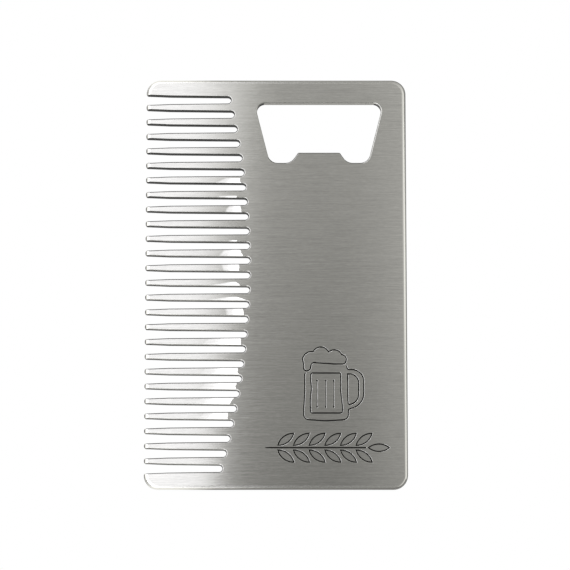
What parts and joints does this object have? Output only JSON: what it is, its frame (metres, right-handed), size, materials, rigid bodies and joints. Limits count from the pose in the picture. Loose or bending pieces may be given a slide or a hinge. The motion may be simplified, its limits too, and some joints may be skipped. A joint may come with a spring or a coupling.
{
  "type": "beard comb",
  "caption": "Flat steel card comb: tapered round-tipped teeth with an arched root line along one long edge, and a bottle-opener mouth with a lip cut through the plate.",
  "frame": {"origin": "centre of the card's outline on its back face, the face that it rests on", "axes": "+X from the tooth tips to the smooth long edge, +Y along the card towards the bottle opener, +Z out of the engraved front face"},
  "size_m": [0.054, 0.0856, 0.0018],
  "materials": {
    "brushed_plate": "stainless steel sheet, brushed along the short side of the card, edges tumbled smooth"
  },
  "bodies": {
    "root": {"comb_card": "brushed_plate"}
  },
  "joints": []
}
